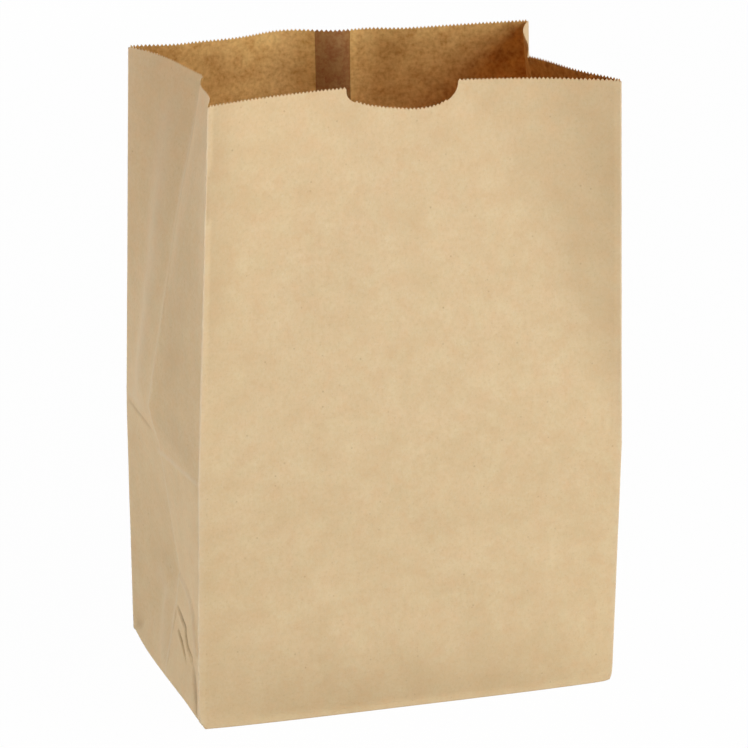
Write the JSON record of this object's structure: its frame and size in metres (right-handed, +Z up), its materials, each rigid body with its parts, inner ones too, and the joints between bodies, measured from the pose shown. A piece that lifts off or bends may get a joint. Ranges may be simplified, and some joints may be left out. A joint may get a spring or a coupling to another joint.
{
  "type": "paper grocery bag",
  "caption": "Brown kraft paper grocery bag that stands open, with a flat folded base, gusseted sides, a pinked mouth and a thumb notch in the front panel.",
  "frame": {"origin": "middle of the underside of the base, where the bag stands", "axes": "+Z up to the mouth, +X to the right along the wide front panel, -Y out of the front panel with the thumb notch"},
  "size_m": [0.31, 0.1996, 0.432],
  "materials": {
    "kraft_paper": "matte natural brown kraft paper"
  },
  "bodies": {
    "root": {"paper_bag": "kraft_paper"}
  },
  "joints": []
}
